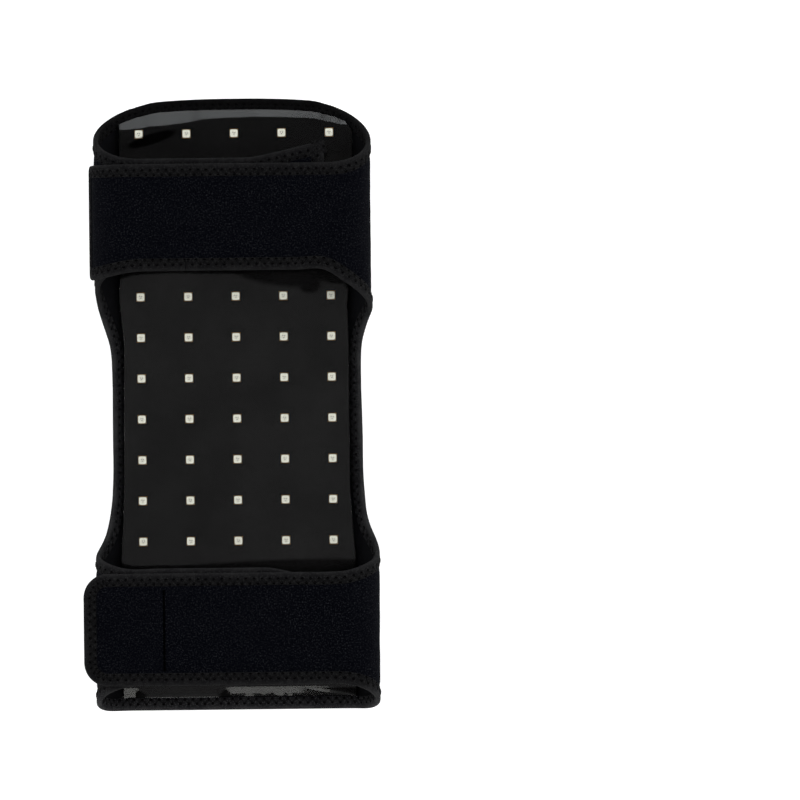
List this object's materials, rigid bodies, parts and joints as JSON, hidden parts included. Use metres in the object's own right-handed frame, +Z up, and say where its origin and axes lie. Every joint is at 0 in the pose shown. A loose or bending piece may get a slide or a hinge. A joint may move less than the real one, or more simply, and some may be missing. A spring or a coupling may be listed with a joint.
{
  "type": "led light therapy limb wrap",
  "caption": "Padded soft wrap for a limb, its inner face set with a grid of small lights under clear film, closed by an upper and a lower hook-and-loop strap over inner flaps.",
  "frame": {"origin": "middle of the back panel's outer face, which lies on the table", "axes": "+Z up from the back panel towards the straps, +Y along the limb towards the wide crowned rim, +X towards the fold that the straps come round"},
  "size_m": [0.1842, 0.386, 0.05],
  "materials": {
    "neoprene": "matt nylon knit on neoprene",
    "loop_cloth": "brushed loop cloth, slightly blue black",
    "binding": "folded knit tape, matt",
    "thread": "polyester thread, slight sheen",
    "hook_tape": "dense nylon hooks",
    "foam": "closed-cell foam, matt",
    "flex_circuit": "amber polyimide film",
    "tinned_copper": "dull tinned strip",
    "resistor": "black ceramic chip with tinned ends",
    "led_body": "cream moulded package",
    "led_lens": "clear silicone over pale dies",
    "light_mask": "matt black sheet",
    "clear_film": "clear glossy soft film",
    "gland_rubber": "moulded, satin",
    "lead_wire": "red and black insulation"
  },
  "bodies": {
    "panel": {"back_panel": "neoprene", "panel_binding": "binding", "foam_pad": "foam", "flex_circuit": "flex_circuit", "bus_strips": "tinned_copper", "resistors": "resistor", "led_packages": "led_body", "led_lenses": "led_lens", "light_mask": "light_mask", "clear_film": "clear_film", "cord_gland": "gland_rubber", "lead_tails": "lead_wire"},
    "upper_side": {"upper_strap_side": "loop_cloth", "upper_side_binding": "binding"},
    "upper_front": {"upper_strap": "loop_cloth", "upper_strap_binding": "binding"},
    "upper_end": {"upper_tip": "loop_cloth", "upper_tip_binding": "binding", "upper_tip_hook": "hook_tape"},
    "upper_flap": {"upper_wing": "loop_cloth", "upper_wing_binding": "binding"},
    "lower_side": {"lower_strap_side": "loop_cloth", "lower_side_binding": "binding"},
    "lower_front": {"lower_strap": "loop_cloth", "lower_strap_binding": "binding"},
    "lower_end": {"lower_tab": "loop_cloth", "lower_tab_binding": "binding", "lower_tab_hook": "hook_tape", "tab_seam": "thread"},
    "lower_flap": {"lower_wing": "loop_cloth", "lower_wing_binding": "binding"}
  },
  "joints": [
    {"name": "upper_open", "type": "hinge", "parent": "panel", "child": "upper_side", "pos_m": [0.08138, 0.117, 0.00662], "axis": [0, 1, 0], "range_deg": [0, 88]},
    {"name": "upper_unfold", "type": "hinge", "parent": "upper_side", "child": "upper_front", "pos_m": [0.08138, 0.117, 0.04338], "axis": [0, 1, 0], "range_deg": [0, 88]},
    {"name": "upper_tip_peel", "type": "hinge", "parent": "upper_front", "child": "upper_end", "pos_m": [-0.08429, 0.117, 0.04299], "axis": [0, 1, 0], "range_deg": [0, 90]},
    {"name": "upper_flap_open", "type": "hinge", "parent": "panel", "child": "upper_flap", "pos_m": [-0.08146, 0.117, 0.00624], "axis": [0, -1, 0], "range_deg": [0, 27]},
    {"name": "lower_open", "type": "hinge", "parent": "panel", "child": "lower_side", "pos_m": [0.08138, -0.1403, 0.00662], "axis": [0, 1, 0], "range_deg": [0, 88]},
    {"name": "lower_unfold", "type": "hinge", "parent": "lower_side", "child": "lower_front", "pos_m": [0.08138, -0.1403, 0.04338], "axis": [0, 1, 0], "range_deg": [0, 88]},
    {"name": "lower_tab_peel", "type": "hinge", "parent": "lower_front", "child": "lower_end", "pos_m": [-0.044, -0.1403, 0.0502], "axis": [0, 1, 0], "range_deg": [0, 120]},
    {"name": "lower_flap_open", "type": "hinge", "parent": "panel", "child": "lower_flap", "pos_m": [-0.08146, -0.1403, 0.00624], "axis": [0, -1, 0], "range_deg": [0, 27]}
  ],
  "couplings": [
    {"joint": "upper_unfold", "follows": "upper_open", "ratio": 1},
    {"joint": "upper_flap_open", "follows": "upper_open", "ratio": 0.3},
    {"joint": "lower_unfold", "follows": "lower_open", "ratio": 1},
    {"joint": "lower_flap_open", "follows": "lower_open", "ratio": 0.3}
  ]
}
